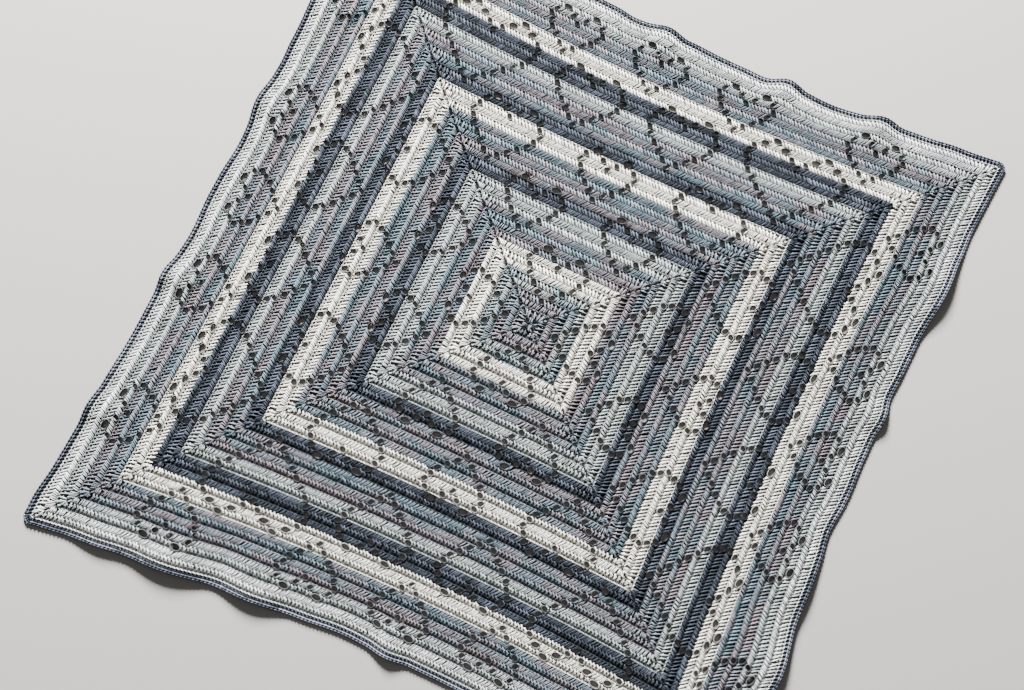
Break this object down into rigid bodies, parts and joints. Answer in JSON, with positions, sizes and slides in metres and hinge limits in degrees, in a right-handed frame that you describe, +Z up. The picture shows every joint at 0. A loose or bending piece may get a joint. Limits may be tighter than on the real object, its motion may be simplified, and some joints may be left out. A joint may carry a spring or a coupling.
{
  "type": "crochet baby blanket",
  "caption": "Square crochet baby blanket laid flat, worked in rounds with openwork hearts and a narrow edging.",
  "frame": {"origin": "middle of the bounding box, on the underside that rests on a surface", "axes": "+Z up through the thin cloth; X and Y along the sides of the square"},
  "size_m": [0.9716, 1.0102, 0.0102],
  "materials": {
    "body_yarn": "matt",
    "edging_yarn": "matt"
  },
  "bodies": {
    "root": {"blanket_body": "body_yarn", "edging": "edging_yarn"}
  },
  "joints": []
}
